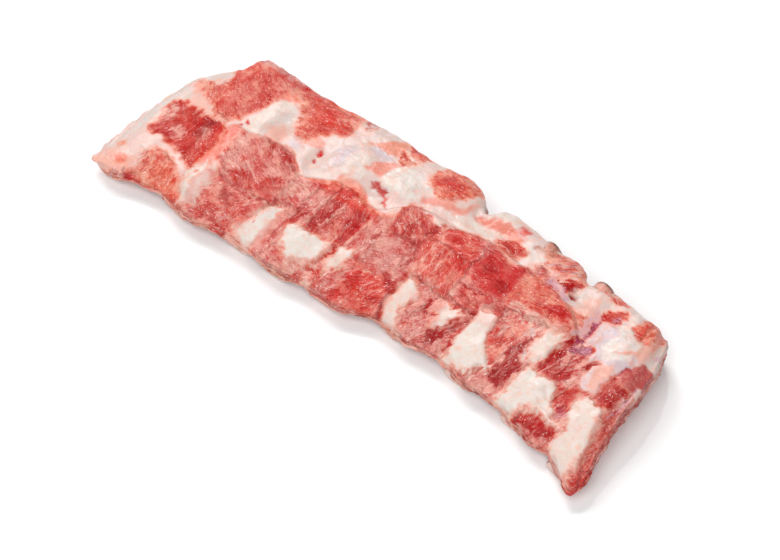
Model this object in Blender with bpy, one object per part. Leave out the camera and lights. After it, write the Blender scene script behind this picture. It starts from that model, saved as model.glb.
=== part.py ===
"""A raw rack of pork back ribs, lying meat side up.

One slab of meat holds nine curved rib bones, which lie in grooves along its
underside and show their sawn ends at both long edges.

Frame: X runs along the rack, Y runs across it from the cut rib ends to the
spine side, Z is up, and the origin is under the middle of the rack, on the
table. The shapes are drawn in millimetres round a drawing origin, and place()
moves and scales each point once, where it is made.
"""

import math

import bmesh
import bpy
from mathutils import Vector, noise

MM = 0.001
MIDDLE_X = -1.55
MIDDLE_Y = 2.2

# The slab's outline, seen from above
NEAR_EDGE = ((-165, -52), (-152, -53.5), (-145, -52.5), (-136, -50), (-122, -46.5), (-106, -48.5),
             (-92, -49.5), (-82, -46.5), (-64, -44.5), (-49, -45.5), (-30, -44.5), (-22, -42.5),
             (-8, -42.5), (4, -42), (12, -39), (22, -34.5), (34, -34.5), (45, -35.5), (54, -34), (70, -33),
             (84, -36.5), (93, -35.5), (107, -36), (118, -39), (130, -42), (140, -41.5), (149, -46), (158, -51))
FAR_EDGE = ((-165, 51), (-137, 54.5), (-122, 54), (-92, 52), (-60, 54.5), (-40, 56.5), (-12, 55.5),
            (11, 58), (23, 54), (30, 45), (38, 53.5), (52, 53.5), (75, 50.5), (90, 50), (99, 43.5),
            (106, 47.5), (130, 45), (152, 43.5))
LEFT_END = ((0, -165), (0.33, -164.5), (0.62, -161.5), (0.75, -159), (0.79, -154), (0.85, -143),
            (0.9, -140.5), (1, -140))
RIGHT_END = ((0, 160), (0.06, 162.5), (0.22, 159.5), (0.42, 157), (0.62, 156), (0.8, 154), (0.92, 151),
             (1, 148))

# The slab's height above the table, from the rib ends (0) to the spine side (1)
TOP_PROFILE = ((0, 11), (0.05, 14), (0.14, 18), (0.3, 22), (0.5, 25), (0.72, 26.5), (0.93, 26.5), (1, 24))
LEFT_TAPER = 50
LEFT_THIN = 0.3
END_ROUND = 8
END_DROP_NEAR = 2
END_DROP_FAR = 5

# About how far it is across the slab, and how far in from its outline the relief begins
WIDTH = 100
RELIEF_MARGIN = 8

# Rib bones
RIB_NEAR_X = (-152, -106, -65, -38, -7, 34, 76, 114, 148)
RIB_FAR_X = (-129, -101, -70, -37, -3, 31, 70, 106, 139)
RIB_HALF_WIDTH = 7.6
RIB_HALF_THICK = 4.1
RIB_WAIST = 0.14
RIB_ARCH = 4.5
RIB_SEAT = 3.8
RIB_SIDES = 12
RIB_STATIONS = 15
RIB_END_INSET = 0.5
RIB_HEAD_START = 0.64
RIB_HEAD_LENGTH = 0.32
RIB_HEAD_GROWTH = (4, 5, 5, 5, 5, 4, 9, 9, 5)
GROOVE_GAP = 0.45
GROOVE_OVERRUN = 8

# The flesh between two ribs, drawn up from the table and most at the rib ends
RIB_REACH = 10
RIB_CREST = 3.5
EDGE_LIFT = 3.0
FLESH_LIFT = 1.8
RIB_WRAP = 3.0
FLESH_LIFT_FROM = 0.2
RIB_RELIEF = 1.9
RIB_RELIEF_END = 0.5
RIB_RELIEF_FADE = 0.2

# The slab's side between the meat side and the underside
WALL_BULGE = 1.1
WALL_BULGE_SIZE = 6

# The long muscle along the middle of the meat side, and how proud it stands
MUSCLE_TOP = ((-112, 4), (-96, 6), (-82, 10), (-62, 1), (-40, 10), (-14, 9), (2, 23), (30, 26), (48, 30),
              (74, 27), (100, 24), (114, 14))
MUSCLE_FOOT = ((-112, -42), (-70, -42), (-58, -18), (-20, -21), (-4, -30), (20, -30), (28, -10), (62, -9),
               (70, 0), (100, 8), (114, 12))
MUSCLE_START = -116
MUSCLE_END = 118
MUSCLE_END_SLOPE = 8
MUSCLE_RISE = 2.2
MUSCLE_EDGE = 4

# Swellings and hollows of the meat side: x, y, half length, half width, turn in degrees, rise
SWELLINGS = {
    "loin_end_muscle": (-126, 30, 25, 20, 0, 2.0),
    "spine_corner_knob": (-133, 47, 8, 6, 0, 1.8),
    "first_rib_hollow": (-133, -12, 21, 12, -10, -2.6),
    "cream_facet": (-98, 20, 9, 16, 0, 2.4),
    "facet_dip": (-84, 15, 8, 7, 0, -1.2),
    "third_spine_muscle": (-80, 40, 17, 11, 0, 1.6),
    "blue_facet": (-44, 25, 14, 15, -20, 2.8),
    "facet_cleft": (-61, 14, 4, 8, 0, -2.2),
    "white_facet": (-14, 26, 11, 11, 0, 2.6),
    "facet_pit": (-22, 19, 8, 4, 10, -3.0),
    "spine_lobe": (10, 46, 12, 9, 0, 2.4),
    "spine_notch": (30, 44, 6, 7, 0, -3.5),
    "fat_trough": (40, 37, 24, 5, 8, -1.6),
    "sawn_bone_pit": (101, 33, 6, 5, 0, -3.5),
    "membrane_valley": (118, 14, 6, 22, 0, -3.2),
    "end_dome": (138, 18, 9, 15, 0, 1.6),
}
RAGGED = 0.7
RAGGED_SIZE = 11
EDGE_RAGGED_SIZE = 5.5

# How finely the slab is divided
CELLS_ALONG = 72
CELLS_ACROSS = 22
WALL_ROWS = 2

SHARP_ANGLE = math.radians(50)

MEAT_COLOUR = (0.62, 0.16, 0.13, 1)
BONE_COLOUR = (0.78, 0.66, 0.56, 1)


def place(point):
    """The drawn point in metres, from under the rack's middle."""
    return Vector((point.x - MIDDLE_X, point.y - MIDDLE_Y, point.z)) * MM


def blend(a, b, share):
    return a + (b - a) * share


def ease(t):
    t = min(1, max(0, t))
    return t * t * (3 - 2 * t)


def along(curve, x):
    """The smooth curve through the given points, read at x and level beyond its ends."""
    if x <= curve[0][0]:
        return curve[0][1]
    for k in range(1, len(curve)):
        (x0, y0), (x1, y1) = curve[k - 1], curve[k]
        if x <= x1:
            before = curve[max(k - 2, 0)]
            after = curve[min(k + 1, len(curve) - 1)]
            slope0 = (y1 - before[1]) / (x1 - before[0])
            slope1 = (after[1] - y0) / (after[0] - x0)
            h, t = x1 - x0, (x - x0) / (x1 - x0)
            held = (1 + 2 * t) * (1 - t) ** 2 * y0 + t * t * (3 - 2 * t) * y1
            return held + h * (t * (1 - t) ** 2 * slope0 + t * t * (t - 1) * slope1)
    return curve[-1][1]


def uneven(x, y, z, size=RAGGED_SIZE):
    """Smooth noise from -1 to 1, the same each run."""
    return noise.noise(Vector((x, y, z)) / size)


def rib_x(index, v):
    return blend(RIB_NEAR_X[index], RIB_FAR_X[index], v)


def near_rib(x, v):
    """1 over a rib, falling smoothly to 0 in the flesh between two ribs."""
    gap = min(abs(x - rib_x(k, v)) for k in range(len(RIB_NEAR_X)))
    return 1 - ease((gap - RIB_CREST) / RIB_REACH)


def arch(v):
    return RIB_ARCH * math.sin(math.pi * min(1, max(0, v)))


def head_growth(index, v):
    """How far the rib's head, at the spine side, is thickened up into the meat."""
    return RIB_HEAD_GROWTH[index] * ease((v - RIB_HEAD_START) / RIB_HEAD_LENGTH)


def near_edge(x):
    return along(NEAR_EDGE, x) + RAGGED * uneven(x, 0, 3, EDGE_RAGGED_SIZE)


def far_edge(x):
    return along(FAR_EDGE, x) + RAGGED * uneven(x, 50, 7, EDGE_RAGGED_SIZE)


def swelling(x, y):
    total = 0
    for cx, cy, half_length, half_width, turn, rise in SWELLINGS.values():
        c, s = math.cos(math.radians(turn)), math.sin(math.radians(turn))
        dx, dy = x - cx, y - cy
        a, b = (c * dx + s * dy) / half_length, (c * dy - s * dx) / half_width
        total += rise * math.exp(-(a * a + b * b))
    return total


def muscle(x, y):
    """1 on the long muscle, 0 off it."""
    ends = ease((x - MUSCLE_START) / MUSCLE_END_SLOPE) * ease((MUSCLE_END - x) / MUSCLE_END_SLOPE)
    rise = ease((y - along(MUSCLE_FOOT, x)) / MUSCLE_EDGE + 0.5)
    fall = ease((along(MUSCLE_TOP, x) - y) / MUSCLE_EDGE + 0.5)
    return ends * rise * fall


def top_height(x, y, v, from_left, from_right):
    base = along(TOP_PROFILE, v)
    thin = blend(LEFT_THIN, 1, ease((x - LEFT_END[0][1]) / LEFT_TAPER))
    height = TOP_PROFILE[0][1] + (base - TOP_PROFILE[0][1]) * thin
    height += RIB_RELIEF * (near_rib(x, v) - 0.5) * ease((RIB_RELIEF_END - v) / RIB_RELIEF_FADE)
    from_end = min(from_left, from_right)
    from_edge = min(from_end, WIDTH * v, WIDTH * (1 - v))
    height += ease(from_edge / RELIEF_MARGIN) * (MUSCLE_RISE * muscle(x, y) + swelling(x, y))
    height += RAGGED * uneven(x, y, 0)
    drop = blend(END_DROP_NEAR, END_DROP_FAR, v)
    return height - drop * (1 - ease(from_end / END_ROUND))


def bottom_height(x, y, v):
    lift = blend(EDGE_LIFT, FLESH_LIFT, ease(v / FLESH_LIFT_FROM))
    between = 1 - near_rib(x, v)
    return RIB_WRAP + arch(v) + lift * between + 0.5 * RAGGED * (1 + uneven(x, y, 20))


def plan_point(u, v):
    """Where share u along and share v across the slab falls: x, y and the distances to both ends."""
    left, right = along(LEFT_END, v), along(RIGHT_END, v)
    x = blend(left, right, u)
    return x, blend(near_edge(x), far_edge(x), v), x - left, right - x


def slab_sheets():
    """The meat side and the underside as grids of points, indexed by place along and place across."""
    top, bottom = {}, {}
    for i in range(CELLS_ALONG + 1):
        for j in range(CELLS_ACROSS + 1):
            u, v = i / CELLS_ALONG, j / CELLS_ACROSS
            x, y, from_left, from_right = plan_point(u, v)
            top[i, j] = Vector((x, y, top_height(x, y, v, from_left, from_right)))
            bottom[i, j] = Vector((x, y, bottom_height(x, y, v)))
    return top, bottom


def rim_keys():
    """The outline's grid places in order, turning left round the slab seen from above."""
    m, n = CELLS_ALONG, CELLS_ACROSS
    near = [(i, 0) for i in range(m)]
    right = [(m, j) for j in range(n)]
    far = [(i, n) for i in range(m, 0, -1)]
    left = [(0, j) for j in range(n, 0, -1)]
    return near + right + far + left


def wall_rings(top, bottom):
    """The rows of points that lie in the slab's side between the two sheets, bulging a little."""
    keys = rim_keys()
    rings = []
    for row in range(1, WALL_ROWS):
        share = row / WALL_ROWS
        ring = []
        for k, key in enumerate(keys):
            before, after = top[keys[k - 1]], top[keys[(k + 1) % len(keys)]]
            way = (after - before).xy
            out = Vector((way.y, -way.x, 0)).normalized()
            point = top[key].lerp(bottom[key], share)
            rough = 1 + uneven(point.x, point.y, point.z, WALL_BULGE_SIZE)
            ring.append(point + out * WALL_BULGE * math.sin(math.pi * share) * rough)
        rings.append(ring)
    return rings


def make_object(name, bm, material, location=(0, 0, 0)):
    mesh = bpy.data.meshes.new(name)
    bmesh.ops.recalc_face_normals(bm, faces=bm.faces)
    bm.to_mesh(mesh)
    bm.free()
    mesh.materials.append(material)
    mesh.shade_smooth()
    mesh.set_sharp_from_angle(angle=SHARP_ANGLE)
    obj = bpy.data.objects.new(name, mesh)
    obj.location = location
    bpy.context.scene.collection.objects.link(obj)
    return obj


def make_material(name, colour, roughness):
    material = bpy.data.materials.new(name)
    material.use_nodes = True
    shader = material.node_tree.nodes["Principled BSDF"]
    shader.inputs["Base Color"].default_value = colour
    shader.inputs["Roughness"].default_value = roughness
    material.diffuse_color = colour
    return material


def make_slab(material):
    top, bottom = slab_sheets()
    keys = rim_keys()
    bm = bmesh.new()
    upper = {key: bm.verts.new(place(point)) for key, point in top.items()}
    lower = {key: bm.verts.new(place(point)) for key, point in bottom.items()}
    for i in range(CELLS_ALONG):
        for j in range(CELLS_ACROSS):
            cell = ((i, j), (i + 1, j), (i + 1, j + 1), (i, j + 1))
            bm.faces.new([upper[key] for key in cell])
            bm.faces.new([lower[key] for key in reversed(cell)])
    rows = [[upper[key] for key in keys]]
    rows += [[bm.verts.new(place(point)) for point in ring] for ring in wall_rings(top, bottom)]
    rows += [[lower[key] for key in keys]]
    for row, below in zip(rows, rows[1:]):
        for k in range(len(keys)):
            after = (k + 1) % len(keys)
            bm.faces.new((row[k], below[k], below[after], row[after]))
    return make_object("meat", bm, material)


def rib_section(index, v, y, margin):
    """The points round the rib's oval at share v across the slab, clipped flat at the table."""
    waist = 1 - RIB_WAIST * math.sin(math.pi * min(1, max(0, v)))
    half_width = RIB_HALF_WIDTH * waist + margin
    growth = head_growth(index, v)
    half_thick = RIB_HALF_THICK + growth + margin
    centre = Vector((rib_x(index, v), y, RIB_SEAT + arch(v) + growth))
    ring = []
    for k in range(RIB_SIDES):
        turn = 2 * math.pi * (k + 0.5) / RIB_SIDES
        point = centre + Vector((half_width * math.cos(turn), 0, half_thick * math.sin(turn)))
        if margin == 0:
            point.z = max(0, point.z)
        ring.append(point)
    return ring


def make_rib(index, material, name, margin=0, overrun=0):
    """One rib bone, placed by its near end. A margin and an overrun make it the cutter of its groove."""
    x_near, x_far = RIB_NEAR_X[index], RIB_FAR_X[index]
    y_near = near_edge(x_near) + RIB_END_INSET
    y_far = far_edge(x_far) - RIB_END_INSET
    seat = place(Vector((x_near, y_near, 0)))
    stations = [k / (RIB_STATIONS - 1) for k in range(RIB_STATIONS)]
    places = [(v, blend(y_near, y_far, v)) for v in stations]
    if overrun:
        places = [(0, y_near - overrun), *places, (1, y_far + overrun)]
    bm = bmesh.new()
    rings = []
    for v, y in places:
        ring = rib_section(index, v, y, margin)
        rings.append([bm.verts.new(place(point) - seat) for point in ring])
    for ring, after in zip(rings, rings[1:]):
        for k in range(RIB_SIDES):
            beside = (k + 1) % RIB_SIDES
            bm.faces.new((ring[k], ring[beside], after[beside], after[k]))
    bm.faces.new(rings[0])
    bm.faces.new(reversed(rings[-1]))
    return make_object(name, bm, material, seat)


def cut_grooves(slab, material):
    """Cuts the ribs' grooves into the underside, a hair wider than the bones."""
    cutters = bpy.data.collections.new("groove_cutters")
    bpy.context.scene.collection.children.link(cutters)
    for index in range(len(RIB_NEAR_X)):
        cutter = make_rib(index, material, f"groove_cutter_{index + 1}", GROOVE_GAP, GROOVE_OVERRUN)
        bpy.context.scene.collection.objects.unlink(cutter)
        cutters.objects.link(cutter)
        cutter.hide_render = True
        cutter.display_type = "WIRE"
    cut = slab.modifiers.new("grooves", "BOOLEAN")
    cut.operation = "DIFFERENCE"
    cut.solver = "EXACT"
    cut.operand_type = "COLLECTION"
    cut.collection = cutters


def main():
    for old in list(bpy.data.objects):
        bpy.data.objects.remove(old)
    meat = make_material("meat", MEAT_COLOUR, 0.35)
    bone = make_material("bone", BONE_COLOUR, 0.5)
    slab = make_slab(meat)
    cut_grooves(slab, meat)
    for index in range(len(RIB_NEAR_X)):
        make_rib(index, bone, f"rib_{index + 1}")


main()
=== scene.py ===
"""How a raw rack of pork back ribs looks: its meat side, its sawn bones, the floor, the light and the camera.

The meat is one fine mesh in the place of its solid, made from the same outline and heights.
Patches of lean, fat and membrane are drawn on it as outlines in millimetres and kept as
attributes of its points, and the material adds grain, marbling and wet gloss to them, with painted glints,
painted sheen and painted shade in the seams.
"""

import math

import bpy
import numpy as np
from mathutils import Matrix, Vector, noise


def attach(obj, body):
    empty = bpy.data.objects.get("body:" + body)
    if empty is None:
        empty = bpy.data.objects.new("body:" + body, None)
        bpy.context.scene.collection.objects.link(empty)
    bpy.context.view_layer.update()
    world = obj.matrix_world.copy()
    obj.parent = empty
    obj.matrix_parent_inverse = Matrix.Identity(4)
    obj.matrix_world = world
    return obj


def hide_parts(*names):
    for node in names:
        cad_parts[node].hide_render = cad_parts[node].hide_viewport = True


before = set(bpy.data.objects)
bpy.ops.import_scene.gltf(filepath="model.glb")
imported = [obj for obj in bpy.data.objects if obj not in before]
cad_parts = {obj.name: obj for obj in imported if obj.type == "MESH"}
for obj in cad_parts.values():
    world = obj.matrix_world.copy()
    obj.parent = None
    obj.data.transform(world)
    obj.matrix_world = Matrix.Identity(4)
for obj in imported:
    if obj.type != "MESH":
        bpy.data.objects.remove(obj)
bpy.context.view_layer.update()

MM = 0.001
MIDDLE_X = -1.55
MIDDLE_Y = 2.2

# The slab's outline, seen from above, in millimetres
NEAR_EDGE = ((-165, -52), (-152, -53.5), (-145, -52.5), (-136, -50), (-122, -46.5), (-106, -48.5),
             (-92, -49.5), (-82, -46.5), (-64, -44.5), (-49, -45.5), (-30, -44.5), (-22, -42.5),
             (-8, -42.5), (4, -42), (12, -39), (22, -34.5), (34, -34.5), (45, -35.5), (54, -34), (70, -33),
             (84, -36.5), (93, -35.5), (107, -36), (118, -39), (130, -42), (140, -41.5), (149, -46),
             (158, -51))
FAR_EDGE = ((-165, 51), (-137, 54.5), (-122, 54), (-92, 52), (-60, 54.5), (-40, 56.5), (-12, 55.5),
            (11, 58), (23, 54), (30, 45), (38, 53.5), (52, 53.5), (75, 50.5), (90, 50), (99, 43.5),
            (106, 47.5), (130, 45), (152, 43.5))
LEFT_END = ((0, -165), (0.33, -164.5), (0.62, -161.5), (0.75, -159), (0.79, -154), (0.85, -143),
            (0.9, -140.5), (1, -140))
RIGHT_END = ((0, 160), (0.06, 162.5), (0.22, 159.5), (0.42, 157), (0.62, 156), (0.8, 154), (0.92, 151),
             (1, 148))

# The slab's height above the table, from the rib ends (0) to the spine side (1)
TOP_PROFILE = ((0, 11), (0.05, 14), (0.14, 18), (0.3, 22), (0.5, 25), (0.72, 26.5), (0.93, 26.5), (1, 24))
LEFT_TAPER = 50
LEFT_THIN = 0.3
END_ROUND = 8
END_DROP_NEAR = 2
END_DROP_FAR = 5
WIDTH = 100
RELIEF_MARGIN = 8

# Rib bones
RIB_NEAR_X = (-152, -106, -65, -38, -7, 34, 76, 114, 148)
RIB_FAR_X = (-129, -101, -70, -37, -3, 31, 70, 106, 139)
RIB_HALF_WIDTH = 7.6
RIB_HALF_THICK = 4.1
RIB_WAIST = 0.14
RIB_ARCH = 4.5
RIB_SEAT = 3.8
RIB_HEAD_START = 0.64
RIB_HEAD_LENGTH = 0.32
RIB_HEAD_GROWTH = (4, 5, 5, 5, 5, 4, 9, 9, 5)

# The flesh between two ribs
RIB_REACH = 10
RIB_CREST = 3.5
EDGE_LIFT = 3.0
FLESH_LIFT = 1.8
RIB_WRAP = 3.0
FLESH_LIFT_FROM = 0.2
RIB_RELIEF = 1.9
RIB_RELIEF_END = 0.5
RIB_RELIEF_FADE = 0.2
WALL_BULGE = 1.1
WALL_BULGE_SIZE = 6

# The long muscle along the middle of the meat side
MUSCLE_TOP = ((-112, 4), (-96, 6), (-82, 10), (-62, 1), (-40, 10), (-14, 9), (2, 23), (30, 26), (48, 30),
              (74, 27), (100, 24), (114, 14))
MUSCLE_FOOT = ((-112, -42), (-70, -42), (-58, -18), (-20, -21), (-4, -30), (20, -30), (28, -10), (62, -9),
               (70, 0), (100, 8), (114, 12))
MUSCLE_START = -116
MUSCLE_END = 118
MUSCLE_END_SLOPE = 8
MUSCLE_RISE = 2.2
MUSCLE_EDGE = 4

# Swellings and hollows of the meat side: x, y, half length, half width, turn in degrees, rise
SWELLINGS = {
    "loin_end_muscle": (-126, 30, 25, 20, 0, 2.0),
    "spine_corner_knob": (-133, 47, 8, 6, 0, 1.8),
    "first_rib_hollow": (-133, -12, 21, 12, -10, -2.6),
    "cream_facet": (-98, 20, 9, 16, 0, 2.4),
    "facet_dip": (-84, 15, 8, 7, 0, -1.2),
    "third_spine_muscle": (-80, 40, 17, 11, 0, 1.6),
    "blue_facet": (-44, 25, 14, 15, -20, 2.8),
    "facet_cleft": (-61, 14, 4, 8, 0, -2.2),
    "white_facet": (-14, 26, 11, 11, 0, 2.6),
    "facet_pit": (-22, 19, 8, 4, 10, -3.0),
    "spine_lobe": (10, 46, 12, 9, 0, 2.4),
    "spine_notch": (30, 44, 6, 7, 0, -3.5),
    "fat_trough": (40, 37, 24, 5, 8, -1.6),
    "sawn_bone_pit": (101, 33, 6, 5, 0, -3.5),
    "membrane_valley": (118, 14, 6, 22, 0, -3.2),
    "end_dome": (138, 18, 9, 15, 0, 1.6),
}
RAGGED = 0.7
RAGGED_SIZE = 11
EDGE_RAGGED_SIZE = 5.5

# How finely the mesh is divided, the underside at half of it
CELLS_ALONG = 420
CELLS_ACROSS = 144
WALL_ROWS = 12

# Colours as they look in soft white light, each channel out of 255
WHITE = (240, 229, 221)
CREAM = (239, 222, 213)
PALE_PINK = (237, 206, 198)
EDGE_PINK = (230, 205, 199)
BLUE_WHITE = (227, 212, 206)
LILAC_WHITE = (222, 203, 207)
SALMON = (244, 190, 175)
DEEP_SALMON = (241, 163, 142)
ORANGE_PINK = (239, 130, 108)
ORANGE_RED = (238, 94, 68)
RED = (229, 72, 61)
BRIGHT_RED = (216, 28, 26)
DEEP_RED = (212, 72, 66)
DARK_RED = (197, 28, 30)
MAROON = (182, 6, 14)
# The hazy pink and hazy red are lean under a pale haze: partly thin membrane, partly painted sheen of the wet
# surface
HAZY_PINK = (231, 154, 144)
HAZY_RED = (226, 112, 102)
LEAN_PINK = (233, 114, 99)
LILAC = (214, 172, 186)
MAGENTA = (190, 92, 122)
MARROW = (150, 62, 50)
BROWN = (186, 112, 92)

BASE_FAT = (235, 213, 206)
BASE_LEAN = (224, 92, 80)

# What white light gives back from a white surface, and what the wet sheen adds
LIGHT = 1.14
SHEEN = 0.04

# The tables below write outlines and lines as x,y pairs in millimetres

# Where lean shows: colour, how softly it sets in, rise of the surface, outline
LEAN_PATCHES = {
    "loin_end": (LEAN_PINK, 4, 0.5,
        "-157,22 -150,23 -140,23 -137,30 -143,42 -140,50 -135,60 -97,60 -96,47 -100,43 -104,38 -102,33 "
        "-104,30 -105,25 -107,20 -108,14 -113,8 -117,3 -125,4 -130,8 -140,12 -150,17"),
    "first_rib": (DEEP_RED, 3, 0,
        "-155,2 -147,5.5 -140,4 -130,2.5 -118,2 -112,0 -110,-15 -109,-28 -113,-30 -120,-27 -130,-24 "
        "-140,-22.5 -150,-23 -155,-20 -152,-15 -154,-8 -157,-2"),
    "near_corner": (DARK_RED, 1, -0.5,
        "-150,-52 -140,-47 -130,-45.5 -125,-47 -124,-50 -135,-56 -150,-56"),
    "second_rib": (DEEP_SALMON, 6, 0.3,
        "-140,-30 -130,-28 -120,-33 -110,-38 -108,-50 -125,-50 -140,-46 -142,-38"),
    "third_spine": (LEAN_PINK, 4, 0.4,
        "-92,58 -62,58 -59,45 -57,38 -62,35 -68,30 -74,21 -80,21 -86,27 -88,31 -92,36 -97,38 -100,41 "
        "-97,46"),
    "long_muscle": (HAZY_PINK, 3, 0.4,
        "-103,4 -97,4.5 -90,8 -82,9 -79,10.5 -74,11 -71,9 -67,5 -62,1.5 -58,0 -53,2 -50,3.5 -45,6 "
        "-42,8.5 -37,9 -34,12 -28,12 -24,10 -20,8 -15,6.5 -10,7 -6,9 -3,12 -2,17 0,24 4,26 7,25 9,22.5 "
        "14,21.5 20,22 24,24.5 30,26 34,28 40,30 46,30.5 52,29.5 58,28 64,26.5 70,31 75,35 80,34 88,30 "
        "92,27 96,25 100,22 104,23 110,26 111,12 122,10 170,-2 170,-65 -110,-65 -111,-48 -106,-40 "
        "-103,-25"),
    "spine_lobe": (ORANGE_PINK, 3, 0.6, "-6,44 -2,60 24,60 23,54 21,48 17,42 12,37 8,35 3,38 -3,40"),
    "fourth_spine": (LEAN_PINK, 2, 0.3, "-30,60 -10,60 -12,55.5 -17,50 -22,49 -28,52"),
    "fourth_pocket": (DEEP_SALMON, 2, -0.3, "-30,49 -18,47 -19,44 -22,39 -24,40 -28,44"),
    "third_far_corner": (PALE_PINK, 2, 0, "-58,47 -51,47 -50,58 -58,58"),
    "seventh_oval": (HAZY_RED, 4, 0.3, "45,34 48,38 54,39.5 60,38.5 65,36 62,31 58,29 52,30 48,32"),
    "eighth_spine": (DEEP_SALMON, 3, 0.3, "72,44 80,52 90,53 96,46 98,42 92,41 84,37 76,37 74,40"),
    "eighth_pit": (DARK_RED, 1.5, -0.6, "82,34.5 90,35 92,40 98,41 97,35 94,30 91,29 89,33"),
    "ninth_far": (SALMON, 2, 0, "107,55 124,55 124,43 118,41 112,42 107,43"),
    "ninth_valley": (DEEP_RED, 1.5, -0.6,
        "115,31 117,34 121,38 126,41 127,37 125.5,34 126.5,30.5 123,29 118,28.5"),
    "ninth_strip": (MAGENTA, 1.5, -0.6,
        "114,29 117,30 118,24 118,18 117.5,12 124,12 126,8 123,5 116,4 114,10 115,16 114.5,22"),
    "end_lean": (ORANGE_PINK, 4, 0.3, "131,34 136,38 134,50 150,50 149,42 147,35 145,30 138,30"),
    "end_streak": (ORANGE_PINK, 3, 0, "135,22 142,22 144,16 142,12 137,13"),
}

# Where fat, cartilage or membrane covers the lean: colour, softness, rise, outline
FAT_PATCHES = {
    "first_seam": (PALE_PINK, 3, 0.3,
        "-140,-24 -130,-25.5 -120,-29 -112,-32 -107,-40 -110,-42 -116,-36 -124,-30.5 -132,-28.5 "
        "-140,-28.5"),
    "second_seam": (CREAM, 5, 0.5,
        "-110,-18 -100,-19 -96,-26 -96,-36 -100,-46 -106,-50 -109,-40 -110,-30"),
    "fourth_white": (WHITE, 4, 1.1,
        "-60,-21 -53,-19 -52,-30 -53,-40 -57,-45 -68,-45 -70,-41 -66,-35 -62,-28"),
    "fifth_cream": (WHITE, 4, 1.7,
        "-48,-23.5 -40,-23 -32,-22 -22,-20 -19,-20 -19,-30 -21,-33 -24,-36 -27,-37 -33,-40 -38,-39 "
        "-43,-35 -44,-28"),
    "fifth_strip": (CREAM, 4, 0.8, "-14,-20 -5,-17 -3,-22 -6,-28 -10,-33 -14,-33 -16,-30 -15,-25"),
    "sixth_white": (CREAM, 4, 1.0,
        "26,-11 30,-12 36,-14 37,-18 34,-24 34,-30 36,-36 27,-37 25,-30 25,-25 26,-18"),
    "sixth_cover": (CREAM, 2, 0.8, "44,-12 60,-10 66,-9 60,-17 55,-22 50,-27 48,-24 50,-19 46,-18"),
    "seventh_white": (WHITE, 2, 1.6,
        "67,-3 77,-2 78,-12 80,-17 84,-21 88,-25 91,-28 84,-30 82,-34 65,-35 66,-25 68,-12"),
    "eighth_narrow": (CREAM, 4, 1.0, "101,9 109,8 110,2 109,-6 106,-14 101,-12 100,-4"),
    "eighth_cream": (WHITE, 4, 2.0,
        "105,-15 115,-15 124,-14.5 126,-20 129,-27 132,-30 139,-31 138,-33 130,-32 120,-32 115,-34 "
        "113,-40 101,-40 103,-25"),
    "ninth_membrane": (LILAC_WHITE, 2, 0.6,
        "117.5,27 124,29 128,30 129,44 134,46 134,32 145,28 146,20 146,12 143,6 141,-9 131,-10 130,-1 "
        "133,7 131,8 128,4 126,4 127,8 125,12 121,13 118.5,14 118.5,20"),
    "end_cover": (CREAM, 4, 1.8,
        "137,-12 150,-12 151.5,-15 151.5,-22 154,-25 156,-32 156,-44 154,-50 147,-54 139,-51 138,-40 "
        "140,-30 136,-25 135,-17"),
}

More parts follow.
